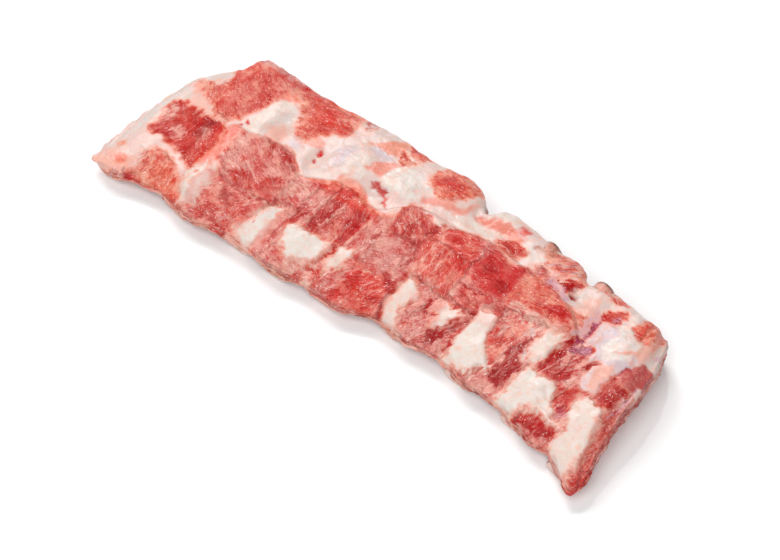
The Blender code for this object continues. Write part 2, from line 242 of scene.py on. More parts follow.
# Tints over what is there: colour, softness, strength, outlines
TINTS = {
    "left_band": (BLUE_WHITE, 3, 1, "-170,-56 -170,32 -157,30 -156,22 -157,2 -157,-20 -155,-56"),
    "left_rim": (EDGE_PINK, 3, 0.9, "-170,-56 -170,30 -162,28 -164,-10 -163,-52"),
    "left_cream": (PALE_PINK, 3, 0.9, "-156,-24 -141,-23 -139,-45 -150,-48 -156,-45"),
    "near_corner_salmon": (SALMON, 3, 1, "-164,-43 -143,-42 -141,-56 -164,-56"),
    "far_corner_white": (BLUE_WHITE, 3, 1, "-156,30 -150,21 -139,23 -137,31 -141,38 -152,38"),
    "far_corner_pink": (SALMON, 1.5, 1, "-146,25 -141,25 -140,28 -143,29.5 -146,28"),
    "loin_salmon": (DEEP_SALMON, 5, 0.8, "-159,17 -150,14 -140,10 -134,16 -135,24 -150,23 -158,26"),
    "loin_dark": (HAZY_RED, 7, 0.8, "-124,6 -108,12 -103,30 -98,43 -96,56 -118,54 -128,30"),
    "loin_edge_red": (HAZY_PINK, 4, 0.7, "-136,60 -134,48 -118,48 -100,46 -94,60"),
    "loin_wedge": (BRIGHT_RED, 2, 1, "-101,54 -94,54 -94,45 -99.5,43"),
    "white_diagonal": (SALMON, 3, 0.7, "-152,16 -140,13 -130,5 -120,3 -118,2 -125,2 -138,4 -147,6"),
    "first_rib_core": (MAROON, 3, 1, "-128,1 -120,2 -121,-7 -124.5,-12 -130,-13 -128,-6"),
    # Pale haze on the first rib's lean: partly membrane, partly painted sheen
    "first_rib_haze": (HAZY_PINK, 4, 0.5, "-140,-9 -134,-12 -133,-18 -138,-20 -142,-14",
        "-126,-5 -119,-5 -117,-11 -124,-12"),
    "first_rib_pink": (SALMON, 3, 1, "-155,-1 -149,0 -146,-11 -152,-14 -155,-8"),
    "first_rib_right": (RED, 4, 0.7, "-116,0 -110,0 -108,-26 -115,-27 -118,-14"),
    "second_rib_core": (ORANGE_PINK, 5, 1, "-133,-34 -124,-33 -112,-40 -106,-46 -112,-50 -130,-47"),
    "second_rib_foot": (HAZY_RED, 4, 0.7, "-122,-45 -114,-47 -106,-46 -106,-56 -122,-56"),
    "fifth_foot": (SALMON, 4, 0.8, "-28,-37 -21,-34.5 -15,-35 -13,-42 -20,-45 -30,-45"),
    "orange_band": (ORANGE_RED, 5, 0.8, "-112,4 -104,4 -102,-10 -102,-24 -110,-26 -111,-10"),
    "facet_cream": (CREAM, 4, 1, "-106,6 -97,5 -93,8 -92,20 -95,33 -101,34 -104,28 -106,15"),
    "facet_blue": (BLUE_WHITE, 3, 1, "-95,18 -88,20 -86,28 -90,34 -95,33"),
    "facet_blue_streak": (BLUE_WHITE, 2, 1, "-97,5 -93,5 -92,22 -96,22"),
    "facet_salmon": (SALMON, 4, 0.9, "-94,12 -88,8 -82,11 -83,18 -89,21 -94,17"),
    "facet_top_salmon": (ORANGE_PINK, 3, 1, "-102,34 -96,34 -94,38 -98,41 -103,38"),
    "third_core": (RED, 5, 0.8, "-84,42 -72,44 -62,40 -66,34 -76,32 -85,36"),
    "third_left": (DEEP_SALMON, 6, 0.8, "-100,44 -98,38 -90,33 -84,28 -83,36 -90,44"),
    "third_edge": (ORANGE_PINK, 3, 0.7, "-92,58 -92,48 -76,49 -60,50 -58,58"),
    "third_foot": (ORANGE_PINK, 3, 0.6, "-73,20 -63,20 -62,26 -70,28"),
    "third_blue": (LILAC_WHITE, 3, 0.9, "-82,12 -73,12 -70,19 -80,20"),
    "muscle_left_rose": (HAZY_RED, 6, 0.5, "-96,4 -78,8 -70,0 -80,-8 -94,-6"),
    "muscle_left_low": (DEEP_RED, 5, 0.8, "-92,-17 -76,-14 -66,-6 -62,-8 -60,-21 -70,-25 -88,-25"),
    "muscle_left_top": (DARK_RED, 3, 0.8, "-92,6 -82,9 -72,8 -62,0 -66,-6 -74,0 -84,5"),
    "lower_left": (HAZY_RED, 5, 0.9, "-104,-26 -90,-27 -70,-26 -62,-24 -66,-40 -72,-46 -88,-48 -102,-46"),
    "lower_left_dark": (MAROON, 4, 1, "-88,-29 -80,-30 -80,-36 -86,-36"),
    "lower_left_core": (SALMON, 3, 0.5, "-72,-38 -66,-40 -64,-47 -72,-46"),
    "lower_left_pale": (PALE_PINK, 4, 1, "-103,-28 -94,-30 -96,-44 -102,-45"),
    "middle_red": (RED, 5, 0.9, "-56,1 -40,8 -28,12 -10,6 -6,0 -12,-4 -28,0 -46,0"),
    "middle_maroon": (DARK_RED, 3, 0.9, "-38,0 -29,1 -28,-12 -31,-21 -37,-21"),
    "middle_orange": (HAZY_RED, 4, 0.8, "-28,0 -21,0 -20,-20 -28,-21"),
    "middle_dark": (DARK_RED, 3, 1, "-21,3 -13,3 -12,-20 -20,-21"),
    "middle_haze_two": (HAZY_PINK, 4, 0.9, "-12,0 -2,0 -2,-18 -12,-19"),
    "diagonal_foot": (HAZY_PINK, 3, 0.9, "-54,-20 -46,-20 -44,-32 -40,-42 -36,-46 -56,-47"),
    "muscle_middle_top": (DEEP_RED, 5, 0.8, "-4,10 0,24 22,21 20,4 0,1"),
    "lean_low": (RED, 5, 0.9, "-2,-20 22,-19 21,-38 -2,-44"),
    "muscle_right": (RED, 6, 0.8, "22,24 44,29 50,10 46,-9 24,-8 20,8"),
    "muscle_bright": (BRIGHT_RED, 5, 0.95, "50,29 64,26 70,30 74,24 73,4 62,3 50,6 48,16"),
    "muscle_salmon": (ORANGE_PINK, 4, 0.9, "72,26 80,32 84,22 82,4 74,4"),
    "muscle_end": (ORANGE_PINK, 5, 0.8, "82,32 96,24 110,25 112,12 96,10 84,6"),
    "muscle_end_core": (BRIGHT_RED, 2.5, 0.9, "91,17 98,19 106,19 107,15 98,14 92,14.5"),
    "muscle_lower": (HAZY_RED, 4, 0.8, "50,2 68,2 68,-8 52,-9"),
    "muscle_low_salmon": (SALMON, 3, 0.9, "77,1 84,3 92,1 99,3 99,9.5 84,9.5 78,9"),
    "sixth_pink": (HAZY_PINK, 4, 0.9, "35,-13 50,-12 52,-30 50,-36 35,-36"),
    "sixth_blood": (DARK_RED, 2, 0.9, "22,-10 26,-12 25,-24 20,-25 13,-18 16,-15 20,-18"),
    "sixth_blood_foot": (MAROON, 2, 1, "21,-29 26,-29 27,-34 22,-35"),
    "sixth_red_strip": (MAROON, 2, 1, "63,-8 67,-6 66,-14 62,-22 58,-31 51,-33 50,-27 56,-19"),
    "seventh_triangle": (DARK_RED, 1.5, 1, "66,-21 66,-24 64,-31 61,-31 63,-25"),
    "seventh_pink": (PALE_PINK, 3, 0.8, "67,-3 77,-3 78,-11 68,-11"),
    "seventh_maroon": (LEAN_PINK, 2, 0.9, "79,-15 80,-5 81,2 92,1 90,-12 88,-22 84,-21"),
    "seventh_band": (MAROON, 2, 1,
        "89,-27 93,-20 90,-12 95,-4 99,3 100,4 100,-5 97,-11 100,-14 104,-14 103,-20 100,-27 98,-31 "
        "92,-30"),
    "eighth_notch": (DARK_RED, 1.5, 1, "114,-39 117,-34 121,-32.5 138,-32.5 139,-38 130,-39.5 120,-39"),
    "cartilage_lilac": (LILAC_WHITE, 3, 1, "-42,36 -31,35 -28,41 -34,43 -42,41"),
    "cartilage_blue": (LILAC_WHITE, 4, 1, "-54,18 -44,17 -42,30 -50,34 -55,28"),
    "cartilage_cream": (CREAM, 4, 0.9, "-46,14 -34,16 -32,28 -40,34 -48,32"),
    "cartilage_edge": (PALE_PINK, 3, 0.8, "-58,36 -50,40 -48,47 -56,48"),
    "fourth_triangle": (DEEP_SALMON, 3, 1, "-47,41 -38,48 -33,58 -28,58 -28,43 -36,42"),
    "fourth_salmon": (ORANGE_PINK, 3, 0.8, "-38,27 -33,33 -26,38 -21,40 -25,30 -28,26"),
    "margin_salmon": (DEEP_SALMON, 3, 0.9, "-44,9 -38,10 -31,13 -28,16 -38,17 -44,13"),
    "white_bulge": (WHITE, 4, 1, "-26,26 -20,24 -8,23 -2,27 -3,38 -12,42 -22,39"),
    "white_bulge_blue": (BLUE_WHITE, 3, 0.9, "-8,29 -2,30 -3,37 -8,37"),
    "fifth_salmon": (PALE_PINK, 3, 0.8, "-10,8 -4,12 -3,20 -8,23 -14,20 -14,12"),
    "lobe_salmon": (ORANGE_PINK, 3, 0.7, "-1,31 3,34 10,36 20,39 26,46 22,34 10,31 2,28"),
    "lobe_core": (BRIGHT_RED, 5, 0.7, "0,44 8,41 15,46 10,51 2,50"),
    "spine_cream": (CREAM, 3, 1, "20,26 34,30 45,31 46,36 38,37 28,39 22,36"),
    "spine_strip": (PALE_PINK, 2, 1, "4,27 10,24 18,23 24,26 20,30 10,30"),
    "spine_salmon": (ORANGE_PINK, 3, 0.8, "27,40 32,43 38,47 50,46 58,43 57,39 47,40 38,37 30,37.5"),
    "spine_pale": (CREAM, 3, 1, "33,48 50,46 52,54 38,56 33,52"),
    "spine_pale_right": (CREAM, 3, 0.9, "60,44 72,40 75,36 66,33 66,38 58,42"),
    "eighth_lilac": (HAZY_RED, 3, 0.9, "79,37 84,36 90,38 88,42 82,41"),
    "eighth_blue": (LILAC, 3, 1, "82,30 90,27 98,25 99,28 90,32 84,35"),
    "eighth_white": (WHITE, 2, 1, "95,37 100,37 100,32 96,32"),
    "ninth_pale": (SALMON, 3, 0.7, "104,36 112,38 114,30 112,24 104,26"),
    "ninth_lilac": (LILAC, 2.5, 0.9, "112,33 115,32 115,16 112,12 111,22"),
    "ninth_lilac_two": (LILAC, 2, 0.6, "119,11 123,12 125,8 123,5 119.5,4"),
    "valley_lilac": (MAGENTA, 1.5, 0.9, "121,31 123,34.5 126,34 124,31"),
    "ninth_white": (WHITE, 2, 0.9,
        "128,30 131,27 127,20 128,15 134,9 142,14 146,22 144,28 133,31 134,46 129,44"),
    "ninth_salmon": (DEEP_SALMON, 2, 0.8, "133,13 140,17 147,22 149,30 146,31 143,22 137,17"),
    "ninth_deep": (DARK_RED, 1.5, 0.95,
        "109,-14 109.5,-5 111,4 112,11 114.5,13 116,8 116,1 118,-4 121,2 124,5 127,5 124,-3 126,-8 "
        "122,-14"),
    "ninth_fleck": (MAROON, 1, 1, "127.5,-1 129,-1.5 132,3 132.7,7.5 131,7 128,3"),
    "ninth_magenta": (DEEP_RED, 2, 0.9, "124,-16 128,-11 131,-9 135,-11 134,-17 136,-25 131,-28 129,-24"),
    "ninth_foot_lilac": (MAGENTA, 2, 0.6, "130,-23 136,-22 136,-27 131,-29"),
    "ninth_blue": (BLUE_WHITE, 3, 1, "132,22 141,21 141,28 132,29"),
    "ninth_oval": (SALMON, 2.5, 1, "134,-8 140,-7 141,5 137,8 133,4"),
    "end_salmon": (SALMON, 2.5, 0.9, "144,30 149,30 149,20 144,20"),
    "end_red": (DARK_RED, 2, 0.85,
        "150,21 149,20 146,12 143,6 142,-2 141,-11 151,-12 153,0 156,10 156,20"),
    "end_strip": (HAZY_RED, 2, 0.95,
        "151,-12 155,-10 165,-18 165,-52 158,-52 156,-38 156,-30 154,-24 152,-20"),
}

# Small spots: colour, radius, rise, places
SPOTS = {
    "left_corner": (DEEP_SALMON, 3, 0, "-157,-38"),
    "near_corner": (ORANGE_PINK, 3.5, 0, "-150,-47"),
    "red_marks": (BRIGHT_RED, 1.4, 0, "-109,5 -106,9"),
    "seam_fleck": (DEEP_SALMON, 1.2, -0.3, "-107,-31"),
    "spine_spot": (HAZY_RED, 3.6, 0, "55,48.5"),
    "cleft": (DEEP_RED, 1.3, -0.8, "-62,14"),
    "cleft_red": (BRIGHT_RED, 1.6, -0.5, "-61.5,19"),
    "notch_hole": (BROWN, 1.4, -1.5, "22,24"),
    "sawn_bones": (BROWN, 3.2, 0.3, "72,46 105,45"),
    "sawn_bone_hole": (MAROON, 1.8, -1.8, "98,31.5"),
    "bright_knots": (DARK_RED, 3.0, -0.4, "56,17 68,12"),
    "tip": (HAZY_RED, 2.6, 0, "158,-49"),
}

# Lines drawn on the surface: colour, half width, strength, depth, the points of each line
LINES = {
    "muscle_crease": (DARK_RED, 0.8, 0.8, 0.36, "-92,-26 -80,-26 -70,-25 -60,-21"),
    "third_crease": (DEEP_SALMON, 0.5, 0.7, 0.24, "-78,20 -74,18 -70,17"),
    "seam_line": (WHITE, 0.6, 0.9, -0.3, "-105,-22 -104.5,-34 -104,-45"),
    "lower_slit": (DARK_RED, 0.9, 0.9, 0.48, "-86,-45 -82,-43 -78,-43.5 -72,-45"),
    "patch_crease": (RED, 0.5, 0.7, 0.24, "-63,-29 -62,-31.5 -62,-34"),
    "diagonal_line": (DARK_RED, 1.1, 0.8, 0.3, "-41,-9 -45,-16 -48,-24 -50,-34"),
    "diagonal_line_two": (DARK_RED, 0.9, 0.8, 0.24, "-38,-12 -43,-18 -46,-24"),
    "muscle_margin": (ORANGE_PINK, 2.2, 0.7, 0,
        "-54,1 -46,5 -40,9 -34,12 -28,12.5 -22,9.5 -15,7 -8,8 -3,12"),
    "bright_line": (SALMON, 0.45, 0.9, -0.2, "-28.5,1 -29,-8 -29,-15 -32,-21"),
    "bright_line_two": (SALMON, 0.4, 0.8, -0.2, "-27,1 -27.5,-10 -30,-18"),
    "band_line": (BRIGHT_RED, 1.2, 0.8, 0.24, "-13.5,3 -13.5,-3 -14,-18"),
    "muscle_line": (DARK_RED, 0.8, 0.8, 0.3, "-2,1 -2.2,-8 -1.5,-16"),
    "cream_slit": (DARK_RED, 1.2, 1, 0.84, "-15,-20.5 -16.5,-24 -18,-28 -19.5,-32"),
    "cream_slit_two": (BRIGHT_RED, 0.8, 0.9, 0.48, "-22,-36 -17,-34.5 -13,-34"),
    "pit": (DARK_RED, 1.6, 0.9, 0.6, "-28,20.5 -24,21.5 -19,20.5 -16,22"),
    "pit_two": (BRIGHT_RED, 0.8, 0.9, 0.36, "-18,20 -15,17 -13,15 -10,13"),
    "arc": (DARK_RED, 1.0, 0.8, 0.3, "16,8 19,4 20,-2 19,-8"),
    "arc_light": (SALMON, 0.6, 0.8, -0.2, "5,9 10,8 15,5"),
    "arc_light_two": (SALMON, 0.7, 0.6, -0.2, "2,17 10,15 16,10"),
    "low_band": (SALMON, 0.8, 0.8, -0.2, "5,-22 9,-20 12,-19"),
    "streaks": (SALMON, 0.5, 0.7, -0.2, "25,10 26,2 25,-8", "29,12 30,2 30,-9"),
    "faint_streak": (SALMON, 0.5, 0.6, -0.2, "34,14 35,3 34,-9"),
    "spine_bright_edge": (WHITE, 0.8, 0.9, -0.5, "8,23 14,21.8 22,22.5 27,25"),
    "lower_crease": (DARK_RED, 0.9, 0.9, 0.42, "50,2 56,1.5 62,2.5 66,2"),
    "sixth_hook": (DARK_RED, 1.2, 0.9, 0.48, "42,-13 44,-16 45,-18.5 42,-19"),
    "seventh_wedge": (BLUE_WHITE, 0.9, 0.9, -0.2, "93,3 96,1 98.5,-2"),
    "seventh_wedge_two": (BLUE_WHITE, 0.8, 0.9, -0.2, "98,-6 99.5,-10 101,-13"),
    "seventh_streaks": (HAZY_PINK, 0.6, 0.9, -0.2, "79,-3 84,-8 90,-14", "83,0 88,-5 93,-10"),
    "seventh_thin_streak": (HAZY_PINK, 0.5, 0.9, -0.2, "79,-9 83,-13 86,-16"),
    "cream_wrinkles": (PALE_PINK, 0.7, 0.8, 0.3, "118,-20 123,-23 128,-24", "119,-26 124,-28 130,-29"),
    "ninth_crease": (PALE_PINK, 0.6, 0.9, 0.18, "122,29 124,20 122,13"),
    "end_line": (DARK_RED, 0.8, 0.9, 0.36, "148,16 144,9 142,2 141,-9"),
    "far_stripe": (LILAC_WHITE, 0.8, 0.8, -0.2, "76,38 84,43 90,49"),
    "far_stripe_two": (LILAC_WHITE, 0.7, 0.8, -0.2, "81,37 88,41 95,45"),
    "far_stripe_dark": (DARK_RED, 0.6, 0.7, 0.18, "78,39 86,44 91,48"),
    "spine_stripe": (BROWN, 1.2, 0.7, 0.24, "65,42 70,47 73,52"),
    "end_lilac": (LILAC, 0.8, 0.7, 0, "154,-14 155,-4 154.5,8"),
    "end_lilac_two": (LILAC, 0.7, 0.7, 0, "151,27 153,34"),
    "small_ring": (RED, 0.6, 0.7, 0.12, "-93,-8 -91,-10 -89,-8.5 -91,-7 -93,-8"),
}

# Which way the grain runs, how streaked with pale fibres, and where
GRAINS = {
    "loin_end": (-32, 0.3, "-160,14 -130,6 -112,4 -100,20 -94,60 -145,60"),
    "first_rib": (64, 0.4, "-158,8 -124,3 -122,-26 -156,-24"),
    "first_rib_right": (-32, 0.5, "-124,3 -100,3 -104,-34 -122,-28"),
    "second_rib": (75, 0.15, "-142,-26 -106,-38 -106,-56 -145,-56"),
    "third_spine": (4, 0.3, "-100,60 -102,36 -80,19 -58,34 -56,60"),
    "muscle_left": (-26, 0.5, "-104,6 -60,10 -56,-24 -104,-26"),
    "lower_left": (46, 0.5, "-106,-26 -60,-22 -62,-52 -108,-54"),
    "middle_left": (-20, 0.7, "-60,12 -46,12 -46,-20 -60,-20"),
    "middle_diagonal": (62, 0.6, "-46,0 -36,4 -34,-22 -50,-46 -60,-46 -58,-20 -46,-20"),
    "middle": (-84, 0.5, "-37,14 0,16 0,-22 -37,-22"),
    "muscle_arc": (-42, 0.5, "0,26 20,24 18,6 0,2"),
    "muscle_curl": (30, 0.6, "0,2 16,4 18,-20 0,-20"),
    "muscle_foot": (58, 0.7, "-12,-22 22,-20 24,-46 -16,-46"),
    "muscle_right": (-76, 0.5, "18,12 48,14 50,-10 20,-10"),
    "muscle_top": (24, 0.3, "20,28 50,32 50,14 18,12"),
    "muscle_end": (4, 0.35, "48,34 112,32 114,8 68,-1 48,-8"),
    "sixth_gap": (60, 0.85, "34,-10 66,-8 68,-40 34,-40"),
    "seventh_gap": (72, 0.9, "77,4 102,8 106,-40 80,-40"),
    "eighth_gap": (76, 1, "106,14 118,14 122,-16 104,-16"),
    "ninth_gap": (56, 1, "118,14 136,14 138,-10 122,-16"),
    "ninth_foot": (72, 0.8, "122,-12 138,-8 140,-44 114,-44"),
    "far_side": (34, 0.5, "66,60 112,60 112,34 66,34"),
    "end": (76, 0.4, "140,50 170,50 170,-60 138,-10"),
}


def ease(t):
    t = np.clip(t, 0, 1)
    return t * t * (3 - 2 * t)


def blend(a, b, share):
    return a + (b - a) * share


def along(curve, x):
    """The smooth curve through the given points, read at each x and level beyond its ends."""
    keys = np.array(curve, float)
    xs, ys = keys[:, 0], keys[:, 1]
    held = np.clip(x, xs[0], xs[-1])
    k = np.clip(np.searchsorted(xs, held), 1, len(xs) - 1)
    before, after = np.maximum(k - 2, 0), np.minimum(k + 1, len(xs) - 1)
    slope0 = (ys[k] - ys[before]) / (xs[k] - xs[before])
    slope1 = (ys[after] - ys[k - 1]) / (xs[after] - xs[k - 1])
    h = xs[k] - xs[k - 1]
    t = (held - xs[k - 1]) / h
    level = (1 + 2 * t) * (1 - t) ** 2 * ys[k - 1] + t * t * (3 - 2 * t) * ys[k]
    return level + h * (t * (1 - t) ** 2 * slope0 + t * t * (t - 1) * slope1)


def uneven(x, y, z, size=RAGGED_SIZE):
    """Smooth noise from -1 to 1, the same each run."""
    parts = np.broadcast_arrays(np.asarray(x, float) / size, np.asarray(y, float) / size,
                                np.asarray(z, float) / size)
    places = zip(*(part.ravel().tolist() for part in parts))
    return np.array([noise.noise(place) for place in places]).reshape(parts[0].shape)


def rib_x(index, v):
    return blend(RIB_NEAR_X[index], RIB_FAR_X[index], v)


def near_rib(x, v):
    """1 over a rib, falling smoothly to 0 in the flesh between two ribs."""
    gap = np.min([np.abs(x - rib_x(k, v)) for k in range(len(RIB_NEAR_X))], axis=0)
    return 1 - ease((gap - RIB_CREST) / RIB_REACH)


def arch(v):
    return RIB_ARCH * np.sin(np.pi * np.clip(v, 0, 1))


def head_growth(index, v):
    return RIB_HEAD_GROWTH[index] * ease((v - RIB_HEAD_START) / RIB_HEAD_LENGTH)


def near_edge(x):
    return along(NEAR_EDGE, x) + RAGGED * uneven(x, 0, 3, EDGE_RAGGED_SIZE)


def far_edge(x):
    return along(FAR_EDGE, x) + RAGGED * uneven(x, 50, 7, EDGE_RAGGED_SIZE)


def swelling(x, y):
    total = np.zeros_like(x)
    for cx, cy, half_length, half_width, turn, rise in SWELLINGS.values():
        c, s = math.cos(math.radians(turn)), math.sin(math.radians(turn))
        dx, dy = x - cx, y - cy
        a, b = (c * dx + s * dy) / half_length, (c * dy - s * dx) / half_width
        total += rise * np.exp(-(a * a + b * b))
    return total


def muscle(x, y):
    """1 on the long muscle, 0 off it."""
    ends = ease((x - MUSCLE_START) / MUSCLE_END_SLOPE) * ease((MUSCLE_END - x) / MUSCLE_END_SLOPE)
    rise = ease((y - along(MUSCLE_FOOT, x)) / MUSCLE_EDGE + 0.5)
    fall = ease((along(MUSCLE_TOP, x) - y) / MUSCLE_EDGE + 0.5)
    return ends * rise * fall


def top_height(x, y, v, from_left, from_right):
    base = along(TOP_PROFILE, v)
    thin = blend(LEFT_THIN, 1, ease((x - LEFT_END[0][1]) / LEFT_TAPER))
    height = TOP_PROFILE[0][1] + (base - TOP_PROFILE[0][1]) * thin
    height += RIB_RELIEF * (near_rib(x, v) - 0.5) * ease((RIB_RELIEF_END - v) / RIB_RELIEF_FADE)
    from_end = np.minimum(from_left, from_right)
    from_edge = np.minimum(from_end, WIDTH * np.minimum(v, 1 - v))
    height += ease(from_edge / RELIEF_MARGIN) * (MUSCLE_RISE * muscle(x, y) + swelling(x, y))
    height += RAGGED * uneven(x, y, 0)
    drop = blend(END_DROP_NEAR, END_DROP_FAR, v)
    return height - drop * (1 - ease(from_end / END_ROUND))


def bottom_height(x, y, v):
    lift = blend(EDGE_LIFT, FLESH_LIFT, ease(v / FLESH_LIFT_FROM))
    between = 1 - near_rib(x, v)
    return RIB_WRAP + arch(v) + lift * between + 0.5 * RAGGED * (1 + uneven(x, y, 20))


def plan(cells_along, cells_across):
    """The slab's grid seen from above: x, y, v and the distances to both ends."""
    u = np.linspace(0, 1, cells_along + 1)[:, None]
    v = np.linspace(0, 1, cells_across + 1)[None, :]
    left, right = along(LEFT_END, v), along(RIGHT_END, v)
    x = blend(left, right, u)
    y = blend(near_edge(x), far_edge(x), v)
    return x, y, v + 0 * x, x - left, right - x


def linear(colour):
    """The linear albedo that looks like this colour out of 255 once it is lit and wet."""
    c = np.array(colour, float) / 255
    seen = np.where(c <= 0.04045, c / 12.92, ((c + 0.055) / 1.055) ** 2.4)
    return np.maximum(seen - SHEEN, 0.004) / LIGHT


def corners(text):
    """The points that are written as x,y pairs."""
    return [tuple(map(float, pair.split(","))) for pair in text.split()]


def to_segments(x, y, points):
    """The distance to a line through the points, and the share of the way along it."""
    near = np.full(x.shape, np.inf)
    at = np.zeros(x.shape)
    count = len(points) - 1
    for k in range(count):
        (ax, ay), (bx, by) = points[k], points[k + 1]
        ex, ey = bx - ax, by - ay
        share = np.clip(((x - ax) * ex + (y - ay) * ey) / (ex * ex + ey * ey), 0, 1)
        away = np.hypot(x - ax - share * ex, y - ay - share * ey)
        at = np.where(away < near, (k + share) / count, at)
        near = np.minimum(near, away)
    return near, at


def depth_inside(x, y, outline):
    """How far inside the outline each point lies, below 0 outside it."""
    points = corners(outline)
    around = points[1:] + points[:1]
    near, _ = to_segments(x, y, points + points[:1])
    odd = np.zeros(x.shape, bool)
    for (ax, ay), (bx, by) in zip(points, around):
        if ay != by:
            odd ^= ((ay > y) != (by > y)) & (x < ax + (y - ay) * (bx - ax) / (by - ay))
    return np.where(odd, near, -near)


# How borders and grain wander: height of a wave, its size, step of the seed
WANDER = ((1.8, 8, 0), (1.5, 3.6, 2), (0.9, 1.7, 6))
SWIRL = ((1.8, 9, 0), (0.7, 3, 0))


def waves(x, y, seed, kinds):
    """How far each place wanders, in mm."""
    return sum(height * uneven(x, y, seed + step, size) for height, size, step in kinds)


def turned(place, angle):
    """Coordinates along the grain and across it."""
    x, y = place
    return np.stack((x * np.cos(angle) + y * np.sin(angle), y * np.cos(angle) - x * np.sin(angle)), axis=-1)


# The relief of a muscle's bundles, finer ridges and creases: height, waves for each mm along and across
BUNDLES = (0.75, 0.07, 0.28)
RIDGES = (0.3, 0.16, 0.7)
CREASES = (-0.6, 0.03, 0.1)
CREASE_WIDTH = 0.09


def fibre_relief(grain, seed):
    """The relief of the fibres in mm."""
    run, across = grain[..., 0], grain[..., 1]
    relief = 0
    for height, along_grain, across_grain in (BUNDLES, RIDGES):
        relief = relief + height * uneven(run * along_grain, across * across_grain, seed, 1)
    height, along_grain, across_grain = CREASES
    crease = np.abs(uneven(run * along_grain, across * across_grain, seed + 5, 1))
    return relief + height * ease(1 - crease / CREASE_WIDTH)


# Where nothing is drawn: depth of the fat, softness of its border, streaks
BARE_FAT = 6
BARE_FEATHER = 1.5
BARE_STREAKS = 0.2

# How wide a patch's slope is at its outline, and how widely one grain turns into the next
PATCH_SLOPE = 2.5
GRAIN_BLEND = 4


class Paint:
    """What covers each point: how far into fat it is, its colours, grain, streaks and relief."""

    def __init__(self, x, y):
        self.x = x + waves(x, y, 31, WANDER)
        self.y = y + waves(x, y, 41, WANDER)
        self.fat = np.full(x.shape, float(BARE_FAT))
        self.feather = np.full(x.shape, BARE_FEATHER)
        self.fat_colour = np.tile(linear(BASE_FAT), (*x.shape, 1))
        self.lean_colour = np.tile(linear(BASE_LEAN), (*x.shape, 1))
        self.relief = np.zeros(x.shape)
        self.streaks = np.full(x.shape, BARE_STREAKS)
        self.swirl = (x + waves(x, y, 81, SWIRL), y + waves(x, y, 85, SWIRL))
        self.grain = turned(self.swirl, 0)
        self.fibres = fibre_relief(self.grain, 0)

    def read(self, z):
        """What the material reads at each point."""
        return {
            "fat": self.fat,
            "fat_colour": self.fat_colour,
            "lean_colour": self.lean_colour,
            "streaks": self.streaks,
            "feather": self.feather,
            "grain": np.concatenate((self.grain, z[..., None]), axis=-1),
        }

    def lay(self, colours, colour, share):
        colours += (linear(colour) - colours) * share[..., None]

    def lay_both(self, colour, share):
        self.lay(self.fat_colour, colour, share)
        self.lay(self.lean_colour, colour, share)

    def shape(self, inside, soft, rise):
        """Softens the border of a patch and raises the patch."""
        self.feather = blend(self.feather, soft, ease(1.6 - np.abs(inside) / (0.7 * soft)))
        self.relief += rise * ease(inside / PATCH_SLOPE + 0.3)

    def lean(self, colour, soft, rise, outline):
        inside = depth_inside(self.x, self.y, outline)
        self.fat = np.minimum(self.fat, -inside)
        self.shape(inside, soft, rise)
        self.lay(self.lean_colour, colour, ease(inside / soft + 0.5))

    def cover(self, colour, soft, rise, outline):
        inside = depth_inside(self.x, self.y, outline)
        self.fat = np.maximum(self.fat, inside)
        self.shape(inside, soft, rise)
        self.lay(self.fat_colour, colour, ease(inside / soft + 1))

    def tint(self, colour, soft, strength, *outlines):
        for outline in outlines:
            inside = depth_inside(self.x, self.y, outline)
            self.lay_both(colour, strength * ease(inside / soft + 0.5))

    def spot(self, colour, radius, rise, places):
        for x, y in corners(places):
            share = ease(1.5 - np.hypot(self.x - x, self.y - y) / radius)
            self.lay_both(colour, share)
            self.relief += rise * share

    def line(self, colour, half_width, strength, depth, *lines):
        for points in lines:
            away, at = to_segments(self.x, self.y, corners(points))
            width = half_width * np.minimum(1, 0.35 + 3 * np.minimum(at, 1 - at))
            self.lay_both(colour, strength * ease(1.5 - away / width))
            self.relief -= depth * ease(1.5 - away / (1.6 * width))

    def comb(self, angle, streaks, outline):
        inside = depth_inside(self.x, self.y, outline)
        share = ease(inside / GRAIN_BLEND + 0.5)
        self.streaks = blend(self.streaks, streaks, share)
        grain = turned(self.swirl, math.radians(angle))
        self.grain = np.where((inside > 0)[..., None], grain, self.grain)
        near = share > 0
        self.fibres[near] = blend(self.fibres[near], fibre_relief(grain[near], angle), share[near])


def painted(x, y):
    paint = Paint(x, y)
    steps = ((paint.lean, LEAN_PATCHES), (paint.cover, FAT_PATCHES), (paint.tint, TINTS),
             (paint.line, LINES), (paint.spot, SPOTS), (paint.comb, GRAINS))
    for draw, table in steps:
        for row in table.values():
            draw(*row)
    return paint


# The near side and the right end: where along X, colour
# The browns and dark reds here are partly the cut sides' own tissue, partly painted shade of sides that face
# away from the light
SIDE_COLOURS = ((-165, EDGE_PINK), (-148, SALMON), (-140, DARK_RED), (-126, DEEP_RED), (-118, SALMON),
                (-84, BROWN), (-70, SALMON), (-30, BROWN), (-10, HAZY_PINK), (20, MARROW),
                (36, BROWN), (50, SALMON), (70, BROWN), (84, MARROW), (95, MARROW), (108, BROWN),
                (120, MARROW), (138, DARK_RED), (148, MARROW), (160, DARK_RED))


def side_colour(x):
    xs = [place for place, _ in SIDE_COLOURS]
    colours = np.array([linear(colour) for _, colour in SIDE_COLOURS])
    return np.stack([np.interp(x, xs, colours[:, k]) for k in range(3)], axis=-1)


def rim_places(cells_along, cells_across):
    """The outline's grid places in order, turning left round the slab seen from above."""
    m, n = cells_along, cells_across
    near = [(i, 0) for i in range(m)]
    right = [(m, j) for j in range(n)]
    far = [(i, n) for i in range(m, 0, -1)]
    left = [(0, j) for j in range(n, 0, -1)]
    return np.array(near + right + far + left)


